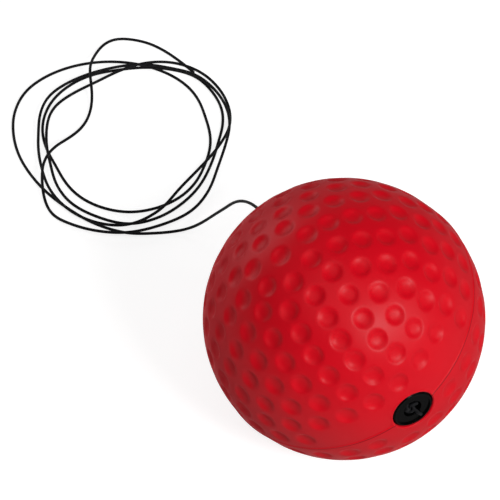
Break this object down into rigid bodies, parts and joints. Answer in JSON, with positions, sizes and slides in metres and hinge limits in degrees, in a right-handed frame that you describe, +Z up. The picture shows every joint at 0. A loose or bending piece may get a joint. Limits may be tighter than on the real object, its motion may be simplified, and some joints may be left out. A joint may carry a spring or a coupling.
{
  "type": "boxing reflex ball",
  "caption": "Dimpled red foam ball on a long thin black elastic cord, knotted in a flush black plug and laid in loose loops; for punching practice.",
  "frame": {"origin": "on the floor, straight under the middle of the ball", "axes": "+Z up; +X along the ball's cord hole, from the mouth where the cord leaves to the plug"},
  "size_m": [0.1771, 0.0633, 0.063],
  "materials": {
    "red_foam": "integral-skin polyurethane foam, satin",
    "black_plastic": "moulded, semi-gloss",
    "black_cord": "elastic cord, fine braid"
  },
  "bodies": {
    "cord": {"cord_lead": "black_cord", "cord_coil": "black_cord", "cord_tail": "black_cord"},
    "inner_cord": {"cord_inner": "black_cord", "stopper_knot": "black_cord"},
    "ball": {"foam_ball": "red_foam", "anchor_plug": "black_plastic"}
  },
  "joints": [
    {"name": "ball_swing", "type": "hinge", "parent": "cord", "child": "inner_cord", "pos_m": [-0.03207, 0, 0.0315], "axis": [0, 0, 1], "range_deg": [-80, 80]},
    {"name": "ball_spin", "type": "hinge", "parent": "inner_cord", "child": "ball", "pos_m": [0, 0, 0.0315], "axis": [1, 0, 0], "continuous": true}
  ]
}
